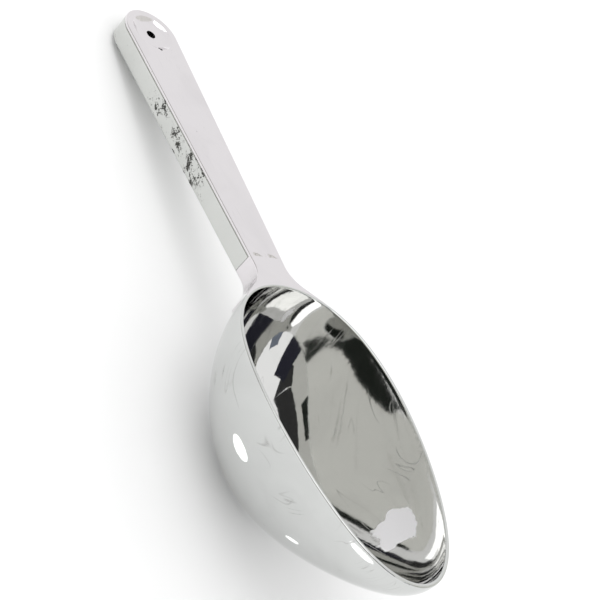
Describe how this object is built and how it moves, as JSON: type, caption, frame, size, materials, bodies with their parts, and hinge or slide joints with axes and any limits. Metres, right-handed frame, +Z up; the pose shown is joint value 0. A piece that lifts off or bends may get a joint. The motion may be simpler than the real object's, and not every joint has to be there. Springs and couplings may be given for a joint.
{
  "type": "ice scoop",
  "caption": "Ice scoop: deep oval bowl with a round nose on a flat hollow handle that widens to a round end with a dished hang hole.",
  "frame": {"origin": "middle of the bounding box of the scoop as it lies on a table, at table height", "axes": "+X from the handle's end towards the bowl's nose, +Z up, and the XZ plane is the plane of symmetry. The scoop lies as it rests, on the bowl's belly and the heel of the handle, so its rim and handle rise 13.5 degrees towards the nose"},
  "size_m": [0.195, 0.0536, 0.0514],
  "materials": {
    "plated_body": "mirror-bright silver plating with fine scratches, slightly soft and wavy",
    "plated_shell": "the same plating, worn and pitted along the sides",
    "eyelet_metal": "satin, rolled edge"
  },
  "bodies": {
    "root": {"scoop_body": "plated_body", "handle_under_shell": "plated_shell", "hang_eyelet": "eyelet_metal"}
  },
  "joints": []
}
